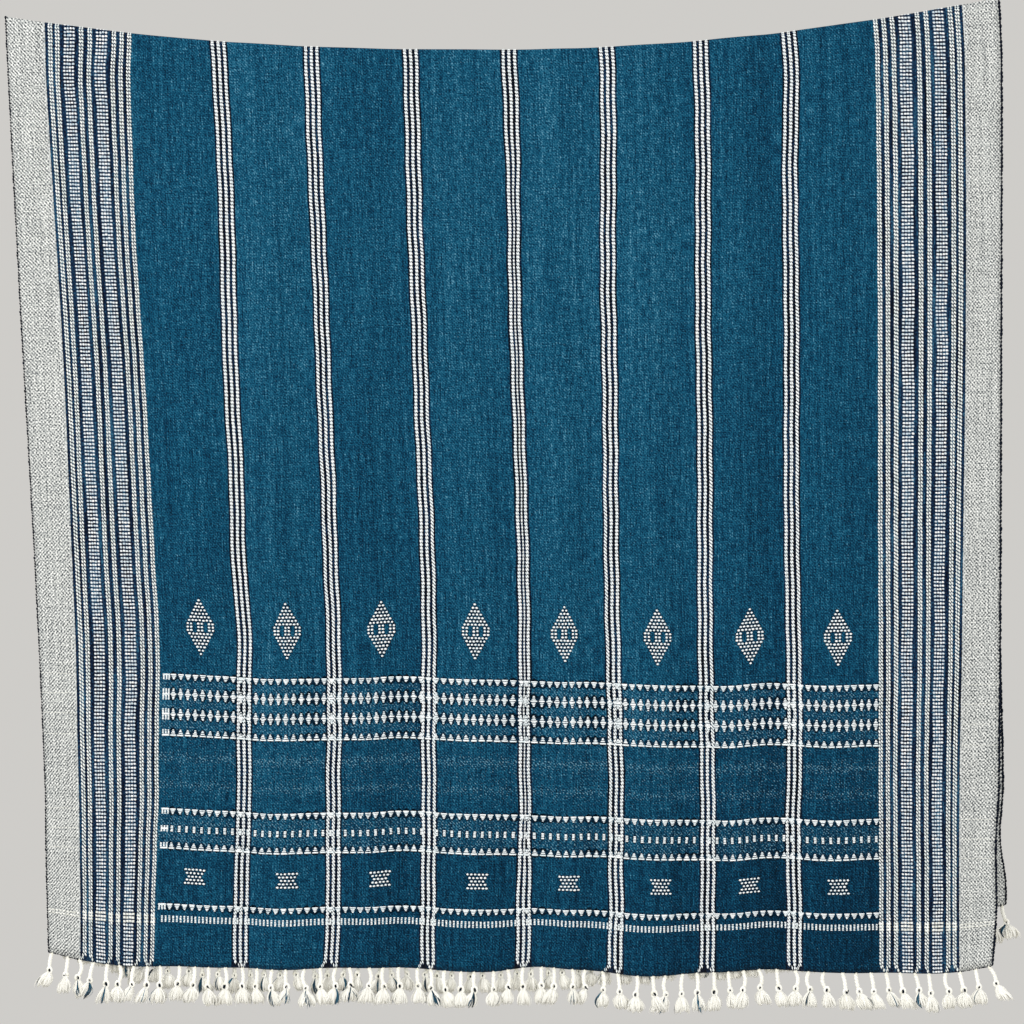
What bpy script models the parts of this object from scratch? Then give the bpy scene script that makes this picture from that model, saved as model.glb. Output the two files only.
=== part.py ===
"""Handwoven wool shawl, folded across its middle and hanging by the fold.

Sizes are in millimetres and turned to metres where a point is placed. +Z is up and the
front faces -Y. The origin is under the middle of the fold, where a line or a peg bears.
"""

import math
import random
from collections import namedtuple

import bmesh
import bpy

MM = 0.001

# Driving sizes
WALL = 1.5
LAYER_GAP = 3.0
SEAM_GAP = 0.3
FOLD_LEG = 14.0
COLUMNS = 44
FALL_ROWS = 12
FOLD_ARC_STEPS = 6

# The fold sags between its two raised corners
SAG_LOWEST = -10.0
LEFT_CORNER = -512.0
LEFT_CORNER_RISE = 34.0
LEFT_SAG_POWER = 2.4
RIGHT_CORNER = 506.0
RIGHT_CORNER_RISE = 52.5
RIGHT_SAG_POWER = 1.9

# Fringe: one strand is a cord, a knot and a tuft. The first root is a share of the width in.
STRANDS = 62
FIRST_ROOT = 0.0032
STRIP_HEIGHT = 3.0
STRIP_THICKNESS = 2.4
ROOT_WIDTH = 3.4
STRAND_SWAY = 1.2
SPLAY_STEP = 1.0
SPLAYED_STRANDS = 3
FRONT_TUFT_LEAN = -1.5
BACK_TUFT_LEAN = 6.0

# Seen from the front, how far across the lines of the warp lie at each distance below
# the origin: the edges, the inner edges of the grey bands and those of the borders.
Outline = namedtuple("Outline", "below left_edge left_band left_border right_border right_band right_edge")
FRONT_OUTLINE = (
    Outline(-60, -513, -474, -389, 376, 468, 506),
    Outline(10, -510, -472, -386, 380, 471, 509),
    Outline(257, -497, -457, -377, 383, 472, 509),
    Outline(524, -482, -444, -360, 383, 469, 508),
    Outline(755, -471, -437, -356, 384, 468, 506),
    Outline(815, -470, -436, -358, 385, 468, 502.5),
    Outline(880, -468, -435, -360, 386, 468, 502.5),
    Outline(940, -466, -435, -361, 386, 468, 498),
)
BACK_OUTLINE = (
    Outline(-60, -513, -474, -389, 376, 468, 506),
    Outline(10, -510, -472, -386, 380, 471, 509),
    Outline(257, -495, -456, -376, 382, 471, 507),
    Outline(524, -478, -441, -359, 383, 469, 506),
    Outline(755, -465, -431, -353, 387, 474, 511.5),
    Outline(808, -464, -430, -353, 388, 476, 508.5),
    Outline(855, -462, -430, -352, 389, 478, 514.5),
    Outline(900, -461, -429, -352, 390, 479, 514),
)
# The same lines as shares of the woven width
WOVEN_LINES = (0, 0.036, 0.124, 0.876, 0.964, 1)

# The hem, as its distance below the origin at a share of the woven width
Hem = namedtuple("Hem", "share below")
FRONT_HEM = (
    Hem(0, 924),
    Hem(0.04, 933),
    Hem(0.10, 940),
    Hem(0.17, 940),
    Hem(0.27, 943),
    Hem(0.35, 941),
    Hem(0.47, 945),
    Hem(0.52, 941),
    Hem(0.56, 943),
    Hem(0.62, 949),
    Hem(0.68, 948),
    Hem(0.75, 943),
    Hem(0.80, 945),
    Hem(0.90, 947),
    Hem(0.96, 945),
    Hem(1, 938),
)
BACK_HEM = (
    Hem(0, 886),
    Hem(0.05, 904),
    Hem(0.09, 918),
    Hem(0.14, 928),
    Hem(0.22, 931),
    Hem(0.48, 931),
    Hem(0.55, 928),
    Hem(0.62, 921),
    Hem(0.70, 918),
    Hem(0.77, 913),
    Hem(0.83, 903),
    Hem(0.93, 888),
    Hem(1, 878),
)

# Soft upright creases. A depth above zero comes towards the front.
Crease = namedtuple("Crease", "at_fold at_hem half_width deep_at_fold deep_at_hem")
CREASES = (
    Crease(-442, -421, 45, 1.5, 4.0),
    Crease(-380, -354, 40, -1.0, -4.0),
    Crease(-323, -301, 42, 1.0, 5.0),
    Crease(-287, -269, 30, -1.0, -3.0),
    Crease(-250, -231, 38, 1.5, 6.0),
    Crease(-202, -185, 42, -1.0, -5.0),
    Crease(-157, -141, 38, 1.0, 5.0),
    Crease(-115, -100, 40, -1.5, -6.0),
    Crease(-51, -36, 50, 1.5, 6.0),
    Crease(17, 28, 42, -1.0, -4.5),
    Crease(52, 63, 30, 1.0, 3.0),
    Crease(87, 100, 38, -1.5, -5.5),
    Crease(136, 147, 42, 2.0, 6.0),
    Crease(186, 196, 34, -2.0, -6.0),
    Crease(228, 237, 34, 2.0, 5.0),
    Crease(275, 283, 30, -4.0, -3.0),
    Crease(334, 341, 48, 1.5, 5.0),
    Crease(393, 397, 38, -1.0, -4.0),
    Crease(447, 445, 45, 1.0, 5.0),
)

# The hem's corners curl: away from the other layer, over a width and a height
Curl = namedtuple("Curl", "left right width height")
FRONT_CURL = Curl(8.0, 10.0, 75.0, 300.0)
BACK_CURL = Curl(3.0, 5.0, 60.0, 200.0)

# One strand of the fringe, ring by ring below its root
Ring = namedtuple("Ring", "below half_width half_depth sway")
STRAND_RINGS = (
    Ring(15.0, 1.9, 1.9, 0.7),
    Ring(18.5, 3.1, 3.1, 0.8),
    Ring(21.5, 2.0, 2.0, 0.85),
    Ring(29.0, 6.0, 4.6, 1.0),
    Ring(35.5, 4.0, 3.0, 1.0),
)


# Reading a table

def curve_through(points, at):
    """The height at one place on a smooth curve through (place, height) points."""
    last = len(points) - 1
    step = 0
    while step < last - 1 and at > points[step + 1][0]:
        step += 1
    (x0, y0), (x1, y1) = points[step], points[step + 1]
    before = points[max(step - 1, 0)]
    after = points[min(step + 2, last)]
    span = x1 - x0
    slope_in = (y1 - before[1]) / (x1 - before[0]) * span
    slope_out = (after[1] - y0) / (after[0] - x0) * span
    t = min(max((at - x0) / span, 0), 1)
    return (
        (2 * t**3 - 3 * t**2 + 1) * y0
        + (t**3 - 2 * t**2 + t) * slope_in
        + (3 * t**2 - 2 * t**3) * y1
        + (t**3 - t**2) * slope_out
    )


def across_at(outline, share, below):
    """How far across a warp thread lies: its share of the width, at one height."""
    lines = [
        curve_through([(row.below, row[column]) for row in outline], below)
        for column in range(1, len(WOVEN_LINES) + 1)
    ]
    panel = 0
    while panel < len(WOVEN_LINES) - 2 and share > WOVEN_LINES[panel + 1]:
        panel += 1
    start, end = WOVEN_LINES[panel], WOVEN_LINES[panel + 1]
    part = (share - start) / (end - start)
    return lines[panel] + part * (lines[panel + 1] - lines[panel])


def fold_height(x):
    """Height of the underside of the fold above the origin."""
    if x < SAG_LOWEST:
        return LEFT_CORNER_RISE * ((SAG_LOWEST - x) / (SAG_LOWEST - LEFT_CORNER)) ** LEFT_SAG_POWER
    return RIGHT_CORNER_RISE * ((x - SAG_LOWEST) / (RIGHT_CORNER - SAG_LOWEST)) ** RIGHT_SAG_POWER


def crease_depth(x, below):
    """How far the creases bring both layers towards the front at one place."""
    down = min(max(below / FRONT_HEM[0].below, 0), 1)
    depth = 0.0
    for crease in CREASES:
        middle = crease.at_fold + (crease.at_hem - crease.at_fold) * down
        away = abs(x - middle) / crease.half_width
        if away < 1:
            deep = crease.deep_at_fold + (crease.deep_at_hem - crease.deep_at_fold) * down
            depth += deep * math.cos(away * math.pi / 2) ** 2
    return depth


def curl_depth(curl, outline, x, below, hem_below):
    """How far a corner of the hem stands away from the other layer."""
    rise = 1 - min((hem_below - below) / curl.height, 1)
    if rise <= 0:
        return 0.0
    from_left = x - across_at(outline, 0, below)
    from_right = across_at(outline, 1, below) - x
    left = curl.left * max(1 - from_left / curl.width, 0) ** 2
    right = curl.right * max(1 - from_right / curl.width, 0) ** 2
    return (left + right) * rise**1.5


# The two layers

Layer = namedtuple("Layer", "outline hem curl side")
FRONT = Layer(FRONT_OUTLINE, FRONT_HEM, FRONT_CURL, -1)
BACK = Layer(BACK_OUTLINE, BACK_HEM, BACK_CURL, 1)


def hem_below(layer, share):
    return curve_through([(row.share, row.below) for row in layer.hem], share)


def layer_point(layer, share, below, out):
    """A point of a layer: out is 0 on the face next to the other layer and 1 outside."""
    x = across_at(layer.outline, share, below)
    away = LAYER_GAP / 2 + WALL * out
    away += curl_depth(layer.curl, layer.outline, x, below, hem_below(layer, share))
    y = layer.side * away - crease_depth(x, below)
    return (x * MM, y * MM, -below * MM)


def fall_point(layer):
    """Places the wall of one fall, from the fold's leg down to the hem."""

    def place(share, down, out):
        x = across_at(layer.outline, share, 0)
        top = -fold_height(x) + FOLD_LEG + SEAM_GAP
        below = top + (hem_below(layer, share) - top) * down
        return layer_point(layer, share, below, out)

    return place


def fold_point(share, along, out):
    """Places the fold: up the front leg, round the arc and down the back leg."""
    step = round(along * (FOLD_ARC_STEPS + 2)) - 1
    x = across_at(FRONT.outline, share, 0)
    crown = fold_height(x)
    x = across_at(FRONT.outline, share, -crown)
    turn = math.pi * min(max(step / FOLD_ARC_STEPS, 0), 1)
    reach = LAYER_GAP / 2 + WALL * out
    z = crown - LAYER_GAP / 2 + reach * math.sin(turn)
    if step < 0 or step > FOLD_ARC_STEPS:
        z = crown - FOLD_LEG
    x = across_at(FRONT.outline, share, -z)
    y = -reach * math.cos(turn) - crease_depth(x, -z)
    return (x * MM, y * MM, z * MM)


# Making the solids

def finish(name, mesh, material):
    """Turns a closed bmesh into a smooth-shaded object of its own."""
    bmesh.ops.recalc_face_normals(mesh, faces=mesh.faces)
    data = bpy.data.meshes.new(name)
    mesh.to_mesh(data)
    mesh.free()
    data.materials.append(material)
    data.shade_smooth()
    thing = bpy.data.objects.new(name, data)
    bpy.context.scene.collection.objects.link(thing)
    return thing


def thick_grid(columns, rows, place):
    """A grid laid by place(share, along, out) on its inner face, extruded to its outer one."""
    mesh = bmesh.new()
    share_layer = mesh.verts.layers.float.new("share")
    along_layer = mesh.verts.layers.float.new("along")
    bmesh.ops.create_grid(mesh, x_segments=columns, y_segments=rows, size=0.5)
    for vert in mesh.verts:
        vert[share_layer] = vert.co.x + 0.5
        vert[along_layer] = vert.co.y + 0.5
    inner = list(mesh.verts)
    outer = bmesh.ops.extrude_face_region(mesh, geom=mesh.faces[:])["geom"]
    for vert in inner:
        vert.co = place(vert[share_layer], vert[along_layer], 0)
    for vert in outer:
        if isinstance(vert, bmesh.types.BMVert):
            vert.co = place(vert[share_layer], vert[along_layer], 1)
    return mesh


def strip_point(layer, edges):
    """Places the fringe's strip under a hem: edges are its column lines as shares."""

    def place(share, up, out):
        column = round(share * (len(edges) - 1))
        at = edges[column]
        x, y, z = layer_point(layer, at, hem_below(layer, at), 0.5)
        y += layer.side * (out - 0.5) * STRIP_THICKNESS * MM
        z -= (SEAM_GAP + (1 - up) * STRIP_HEIGHT) * MM
        return (x, y, z)

    return place


def hang_strand(mesh, face, sway, lean):
    """Draws one strand down from its root face, ring by ring."""
    root = face.calc_center_median()
    for ring in STRAND_RINGS:
        middle = face.calc_center_median()
        corners = [(math.copysign(1, v.co.x - middle.x), math.copysign(1, v.co.y - middle.y)) for v in face.verts]
        face = bmesh.ops.extrude_discrete_faces(mesh, faces=[face])["faces"][0]
        x = root.x + sway * ring.sway * MM
        y = root.y + lean * ring.sway * MM
        for vert, (side, depth) in zip(face.verts, corners):
            vert.co = (x + side * ring.half_width * MM, y + depth * ring.half_depth * MM, root.z - ring.below * MM)


def fringe(name, layer, lean, seed, material):
    """A narrow strip under the hem with its strands hanging from it."""
    chance = random.Random(seed)
    half_root = ROOT_WIDTH / 2
    edges = [0.0]
    for strand in range(STRANDS):
        middle = FIRST_ROOT + (1 - 2 * FIRST_ROOT) * strand / (STRANDS - 1)
        low = hem_below(layer, middle)
        width = across_at(layer.outline, middle + 0.001, low) - across_at(layer.outline, middle, low)
        half_share = half_root * 0.001 / width
        edges += [middle - half_share, middle + half_share]
    edges.append(1.0)
    mesh = thick_grid(len(edges) - 1, 1, strip_point(layer, edges))
    along = mesh.verts.layers.float["along"]
    undersides = [face for face in mesh.faces if all(vert[along] < 0.5 for vert in face.verts)]
    undersides.sort(key=lambda face: face.calc_center_median().x)
    for strand, face in enumerate(undersides[1::2]):
        sway = chance.uniform(-STRAND_SWAY, STRAND_SWAY)
        sway -= SPLAY_STEP * max(SPLAYED_STRANDS - strand, 0)
        sway += SPLAY_STEP * max(SPLAYED_STRANDS - (STRANDS - 1 - strand), 0)
        hang_strand(mesh, face, sway, lean)
    return finish(name, mesh, material)


# Materials

def wool(name, colour, roughness):
    material = bpy.data.materials.new(name)
    material.use_nodes = True
    shader = material.node_tree.nodes["Principled BSDF"]
    shader.inputs["Base Color"].default_value = (*colour, 1)
    shader.inputs["Roughness"].default_value = roughness
    shader.inputs["Metallic"].default_value = 0
    return material


# The shawl

for old in list(bpy.data.objects):
    bpy.data.objects.remove(old)

blue_wool = wool("blue handwoven wool", (0.009, 0.085, 0.159), 0.9)
ivory_wool = wool("ivory wool cord", (0.78, 0.80, 0.74), 0.9)

finish("front_fall", thick_grid(COLUMNS, FALL_ROWS, fall_point(FRONT)), blue_wool)
finish("top_fold", thick_grid(COLUMNS, FOLD_ARC_STEPS + 2, fold_point), blue_wool)
finish("back_fall", thick_grid(COLUMNS, FALL_ROWS, fall_point(BACK)), blue_wool)
fringe("front_fringe", FRONT, FRONT_TUFT_LEAN, 1, ivory_wool)
fringe("back_fringe", BACK, BACK_TUFT_LEAN, 2, ivory_wool)
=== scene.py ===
"""Handwoven wool shawl, folded across its middle and hung by the fold: how it looks.

The cloth and everything woven into it are laid out flat, in millimetres of cloth, and then
hung. A flat point is across from the left selvedge, up from the hem, and proud of the face.
"""

import math
from collections import namedtuple

import bmesh
import bpy
import numpy as np
from mathutils import Matrix


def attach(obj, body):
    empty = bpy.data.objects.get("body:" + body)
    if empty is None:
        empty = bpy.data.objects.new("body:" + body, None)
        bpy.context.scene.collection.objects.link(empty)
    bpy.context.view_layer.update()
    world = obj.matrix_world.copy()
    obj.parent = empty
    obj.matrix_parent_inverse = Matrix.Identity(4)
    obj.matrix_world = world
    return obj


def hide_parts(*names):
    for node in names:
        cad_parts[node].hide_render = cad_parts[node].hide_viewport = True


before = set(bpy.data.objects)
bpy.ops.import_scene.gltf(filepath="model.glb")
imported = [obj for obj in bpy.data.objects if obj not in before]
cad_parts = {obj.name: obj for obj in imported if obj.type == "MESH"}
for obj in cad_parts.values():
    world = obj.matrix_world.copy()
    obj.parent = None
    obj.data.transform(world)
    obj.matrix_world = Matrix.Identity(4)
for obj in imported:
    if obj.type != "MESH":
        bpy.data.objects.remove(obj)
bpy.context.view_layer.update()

# The woven panel
# One length of handwoven wool twill, 40 inches wide: grey bands at both selvedges, dark
# borders inside them and a blue field. It is folded across its middle, and its two layers
# hang by the fold.

MM = 0.001
WIDTH = 1020.0
BAND = 36.7
BORDER = 126.5
FIELD = WIDTH - 2 * BORDER
CLOTH = 1.2
WALL = 1.5
LAYER_GAP = 3.0
FOLD_LEG = 14.0
FOLD_REACH = LAYER_GAP / 2 + WALL
FOLD_THREAD = math.pi * (LAYER_GAP + WALL) / 2

# Three ivory lines stand together at each of these shares of the field, with a panel between
TRIPLE_SHARES = (0.1194, 0.2447, 0.3772, 0.509, 0.635, 0.7626, 0.8822)
TRIPLES = tuple(BORDER + FIELD * share for share in TRIPLE_SHARES)
TRIPLE_HALF = 9.2
PANEL_STARTS = (BORDER, *(middle + TRIPLE_HALF for middle in TRIPLES))
PANEL_ENDS = (*(middle - TRIPLE_HALF for middle in TRIPLES), WIDTH - BORDER)
PANELS = tuple(zip(PANEL_STARTS, PANEL_ENDS))

# The fold sags between its two raised corners
SAG_LOWEST = -10.0
LEFT_CORNER = -512.0
LEFT_CORNER_RISE = 34.0
LEFT_SAG_POWER = 2.4
RIGHT_CORNER = 506.0
RIGHT_CORNER_RISE = 52.5
RIGHT_SAG_POWER = 1.9


def table(columns, *rows):
    """Rows of values whose columns have names."""
    kind = namedtuple("Row", columns)
    return tuple(kind(*row) for row in rows)


# How far across the lines of the warp hang at each distance below the fold
OUTLINE = "below left_edge left_band left_border right_border right_band right_edge"
FRONT_OUTLINE = table(
    OUTLINE,
    (-60, -513, -474, -389, 376, 468, 506),
    (10, -510, -472, -386, 380.5, 472, 509),
    (257, -497, -457, -377, 383.5, 473.5, 509),
    (524, -482, -444, -360, 384, 470, 508),
    (755, -471, -437, -356, 385, 467, 506),
    (815, -470, -436, -358, 385, 466, 502.5),
    (880, -468, -435, -360, 385, 465.5, 502.5),
    (940, -466, -435, -361, 385, 465.5, 498),
)
BACK_OUTLINE = table(
    OUTLINE,
    (-60, -513, -474, -389, 376, 468, 506),
    (10, -510, -472, -386, 380, 471, 509),
    (257, -495, -456, -376, 382, 471, 507),
    (524, -478, -441, -359, 383, 469, 506),
    (755, -465, -431, -353, 387, 474, 511.5),
    (808, -464, -430, -353, 388, 476, 508.5),
    (855, -462, -430, -352, 389, 478, 514.5),
    (900, -461, -429, -352, 390, 479, 514),
)
WOVEN_LINES = np.array((0, BAND, BORDER, WIDTH - BORDER, WIDTH - BAND, WIDTH)) / WIDTH

FRONT_HEM = table(
    "share below",
    (0, 924), (0.04, 933), (0.10, 940), (0.17, 940), (0.27, 943), (0.35, 941), (0.47, 945), (0.52, 941),
    (0.56, 943), (0.62, 949), (0.68, 948), (0.75, 943), (0.80, 945), (0.90, 947), (0.96, 945), (1, 938),
)
BACK_HEM = table(
    "share below",
    (0, 886), (0.05, 904), (0.09, 918), (0.14, 928), (0.22, 931), (0.48, 931), (0.55, 928), (0.62, 921),
    (0.70, 918), (0.77, 913), (0.83, 903), (0.93, 888), (1, 878),
)

# Above the hem the weft hangs level but for these dips
FRONT_DIPS = table(
    "share below",
    (0, 937), (0.144, 939), (0.188, 941), (0.24, 944), (0.34, 943), (0.378, 941.5), (0.44, 944),
    (0.48, 945), (0.536, 947), (0.575, 947.5), (0.625, 949.5), (0.668, 951), (0.72, 951), (0.76, 948.5),
    (0.82, 951), (0.856, 950), (1, 949),
)
BACK_DIPS = table(
    "share below",
    (0, 896), (0.06, 908), (0.12, 923), (0.2, 931), (0.48, 932), (0.6, 925), (0.75, 915), (0.88, 898),
    (1, 888),
)
DIP_HEIGHT = 110.0

# Between its edges the warp hangs a little aside here and there
ASIDE_HALF = 0.1
WARP_ASIDE = table(
    "share below reach aside",
    (0.100, -20, 60, 3.5), (0.100, 320, 165, 2.3), (0.100, 615, 110, 2.6),
    (0.214, 165, 240, 3.9), (0.214, 514, 100, -2.4), (0.214, 600, 80, 1.9),
    (0.308, 250, 180, 2.0), (0.308, 514, 90, -1.2), (0.308, 755, 70, -1.6), (0.308, 880, 60, 1.3),
    (0.408, 280, 110, 1.0), (0.408, 720, 150, -1.8),
    (0.507, 120, 150, 1.3), (0.507, 700, 110, -1.2),
    (0.602, 30, 240, 4.1), (0.602, 540, 260, -3.3), (0.602, 885, 60, 1.3),
    (0.698, 60, 260, 2.8), (0.698, 600, 250, -2.4),
    (0.787, 20, 110, 3.2), (0.787, 470, 220, -1.8), (0.787, 800, 90, -2.0),
    (0.923, 300, 420, -0.7), (0.923, 740, 140, -1.4),
)
WAVER = 0.4
WAVER_LENGTH = 66.0
WAVER_SHIFT = 31

# Soft upright creases. A depth above zero comes towards the front.
CREASES = table(
    "at_fold at_hem half_width deep_at_fold deep_at_hem",
    (-442, -421, 45, 1.5, 4.0),
    (-380, -354, 40, -1.0, -4.0),
    (-323, -301, 42, 1.0, 5.0),
    (-287, -269, 30, -1.0, -3.0),
    (-250, -231, 38, 1.5, 6.0),
    (-202, -185, 42, -1.0, -5.0),
    (-157, -141, 38, 1.0, 5.0),
    (-115, -100, 40, -1.5, -6.0),
    (-51, -36, 50, 1.5, 6.0),
    (17, 28, 42, -1.0, -4.5),
    (52, 63, 30, 1.0, 3.0),
    (87, 100, 38, -1.5, -5.5),
    (136, 147, 42, 2.0, 6.0),
    (186, 196, 34, -2.0, -6.0),
    (228, 237, 34, 2.0, 5.0),
    (275, 283, 30, -4.0, -3.0),
    (334, 341, 48, 1.5, 5.0),
    (393, 397, 38, -1.0, -4.0),
    (447, 445, 45, 1.0, 5.0),
)

# Shorter creases that the wall's solid leaves out, each between two heights
WRINKLES = table(
    "across half_width deep start end",
    (-238, 12, 0.8, 0, 420),
    (-196, 9, -0.5, 60, 500),
    (-66, 14, 0.7, 20, 380),
    (-22, 10, -0.6, 120, 640),
    (44, 11, 0.7, 30, 560),
    (171, 10, 0.6, 0, 460),
    (206, 12, -0.8, 60, 620),
    (272, 9, -1.4, 0, 520),
    (300, 12, 0.9, 40, 700),
    (-330, 13, 0.7, 400, 940),
    (-158, 11, -0.6, 520, 930),
    (90, 12, -0.7, 560, 940),
    (352, 12, 0.8, 480, 940),
)

# The shawl has lain folded: two weak creases across it and one along its middle
CROSS_CREASES = (485.0, 519.0)
CROSS_HALF = 15.0
CROSS_DEEP = 0.9
CROSS_TILT = 0.006
CROSS_UNEVEN = 0.4
MIDDLE_CREASE = TRIPLES[3]
MIDDLE_START = 60.0
MIDDLE_END = 860.0
MIDDLE_FADES = (120.0, 60.0)
MIDDLE_PINCH = 0.5
PINCH_HALF = 8.0
MIDDLE_DEEP = 1.6
DEEP_HALF = 7.0
COCKLE_DEEP = 0.16

CURL_POWER = 1.5
Curl = namedtuple("Curl", "left right width height")
Layer = namedtuple("Layer", "name outline hem dips curl side")
FRONT = Layer("front", FRONT_OUTLINE, FRONT_HEM, FRONT_DIPS, Curl(8.0, 10.0, 75.0, 300.0), -1)
BACK = Layer("back", BACK_OUTLINE, BACK_HEM, BACK_DIPS, Curl(3.0, 5.0, 60.0, 200.0), 1)
LAYERS = (FRONT, BACK)


def curve_through(rows, at, column=1):
    """Heights of a smooth curve through a table's first column and another one."""
    place = np.array([row[0] for row in rows], float)
    height = np.array([row[column] for row in rows], float)
    slope = np.gradient(height, place)
    slope[1:-1] = (height[2:] - height[:-2]) / (place[2:] - place[:-2])
    step = np.clip(np.searchsorted(place, at) - 1, 0, len(place) - 2)
    span = place[step + 1] - place[step]
    t = np.clip((at - place[step]) / span, 0, 1)
    return (
        (2 * t**3 - 3 * t**2 + 1) * height[step]
        + (t**3 - 2 * t**2 + t) * slope[step] * span
        + (3 * t**2 - 2 * t**3) * height[step + 1]
        + (t**3 - t**2) * slope[step + 1] * span
    )


def spots(*parts):
    """Points from their coordinates, which may be arrays of different shapes, or numbers."""
    return np.stack(np.broadcast_arrays(*parts), -1)


def smooth_step(t):
    t = np.clip(t, 0, 1)
    return t * t * (3 - 2 * t)


def across_at(outline, share, below):
    """How far across a warp thread hangs, by its share of the width and its height."""
    lines = np.array([curve_through(outline, below, column) for column in range(1, 7)])
    panel = np.clip(np.searchsorted(WOVEN_LINES, share) - 1, 0, len(WOVEN_LINES) - 2)
    part = (share - WOVEN_LINES[panel]) / (WOVEN_LINES[panel + 1] - WOVEN_LINES[panel])
    at = np.arange(len(share))
    return lines[panel, at] + part * (lines[panel + 1, at] - lines[panel, at])


def fold_height(x):
    left = np.clip((SAG_LOWEST - x) / (SAG_LOWEST - LEFT_CORNER), 0, None)
    right = np.clip((x - SAG_LOWEST) / (RIGHT_CORNER - SAG_LOWEST), 0, None)
    return LEFT_CORNER_RISE * left**LEFT_SAG_POWER + RIGHT_CORNER_RISE * right**RIGHT_SAG_POWER


def arc_start(share):
    """Height of the middle of the fold's arc, where the fall ends and the fold begins."""
    return fold_height(across_at(FRONT_OUTLINE, share, np.zeros_like(share))) - LAYER_GAP / 2


def level(layer, share, up):
    """How far below the origin the hem would hang, were the weft as it is at this height."""
    low = curve_through(layer.hem, share)
    return low + (curve_through(layer.dips, share) - low) * smooth_step(up / DIP_HEIGHT)


def top_of(layer, share):
    """How far up the cloth a layer's arc or seam is, from its hem."""
    high = arc_start(share)
    if layer is BACK:
        high = high + LAYER_GAP / 2 - FOLD_LEG
    return high + curve_through(layer.dips, share)


def bump_at(away):
    return np.where(np.abs(away) < 1, np.cos(np.clip(away, -1, 1) * math.pi / 2) ** 2, 0)


def crease_depth(x, below, side):
    down = np.clip(below / FRONT_HEM[0].below, 0, 1)
    depth = np.zeros_like(x)
    for crease in CREASES:
        middle = crease.at_fold + (crease.at_hem - crease.at_fold) * down
        deep = crease.deep_at_fold + (crease.deep_at_hem - crease.deep_at_fold) * down
        depth += deep * bump_at((x - middle) / crease.half_width)
    for wrinkle in WRINKLES:
        middle = (wrinkle.start + wrinkle.end) / 2
        ends = bump_at((below - middle) / (wrinkle.end - wrinkle.start) * 2)
        place = wrinkle.across if side < 0 else -wrinkle.across
        depth += wrinkle.deep * ends * bump_at((x - place) / wrinkle.half_width)
    for place in CROSS_CREASES:
        uneven = 1 - CROSS_UNEVEN + CROSS_UNEVEN * np.sin(x / 61 + place)
        depth -= CROSS_DEEP * uneven * bump_at((below - place - x * CROSS_TILT) / CROSS_HALF)
    # Two waves that cross make it finely cockled all over
    bent = 1.2 * np.sin(below / 47)
    cockle = np.sin(x / 9.1 + below / 23 + bent) * np.sin(below / 13.7 - x / 31)
    return depth + COCKLE_DEEP * cockle


def hangs_aside(share, below):
    """How far aside the warp hangs inside the cloth's edges."""
    wave = np.sin(below / WAVER_LENGTH * 2 * math.pi + share * WAVER_SHIFT)
    aside = WAVER * wave * np.sin(share * math.pi)
    for place in WARP_ASIDE:
        across = bump_at((share - place.share) / ASIDE_HALF)
        aside += place.aside * across * bump_at((below - place.below) / place.reach)
    return aside


def surface(layer, across, up):
    """Where points of a layer's outer face hang, in millimetres."""
    share = across / WIDTH
    below = level(layer, share, up) - up
    middle = arc_start(share)
    over = np.zeros_like(share)
    if layer is FRONT:
        over = np.clip(-below - middle, 0, None)
    turn = np.clip(over / FOLD_THREAD, 0, 1) * math.pi
    over_fold = middle + FOLD_REACH * np.sin(turn) - np.clip(over - FOLD_THREAD, 0, None)
    z = np.where(over > 0, over_fold, -below)
    x = across_at(layer.outline, share, -z) + hangs_aside(share, -z)

    # The middle crease draws the cloth together, and back
    pinched = smooth_step((-z - MIDDLE_START) / MIDDLE_FADES[0])
    pinched *= smooth_step((MIDDLE_END + z) / MIDDLE_FADES[1])
    from_middle = across - MIDDLE_CREASE
    x -= pinched * MIDDLE_PINCH * from_middle * np.exp(-(from_middle / PINCH_HALF) ** 2)

    # The lower corners curl away from the other layer
    from_left = x - across_at(layer.outline, np.zeros_like(share), -z)
    from_right = across_at(layer.outline, np.ones_like(share), -z) - x
    hem = curve_through(layer.hem, share)
    rise = np.clip(1 - (hem + z) / layer.curl.height, 0, 1) ** CURL_POWER
    curl = layer.curl.left * np.clip(1 - from_left / layer.curl.width, 0, None) ** 2
    curl += layer.curl.right * np.clip(1 - from_right / layer.curl.width, 0, None) ** 2
    y = layer.side * (FOLD_REACH + curl * rise) * np.where(over > 0, np.cos(turn), 1)
    y -= crease_depth(x, -z, layer.side)
    y -= pinched * MIDDLE_DEEP * np.exp(-(from_middle / DEEP_HALF) ** 2)
    return spots(x, y, z)


def lines_between(places, widest):
    """Lines through each place, with no step between them wider than this."""
    found = [places[0]]
    for start, end in zip(places, places[1:]):
        count = math.ceil((end - start) / widest)
        found += [start + (end - start) * step / count for step in range(1, count + 1)]
    return np.array(found)


COLUMN_STEP = 7.0
FALL_ROWS = 100
ARC_STEPS = 8
MIDDLE_STEP = 2.6
Net = namedtuple("Net", "columns top past places normals")


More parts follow.
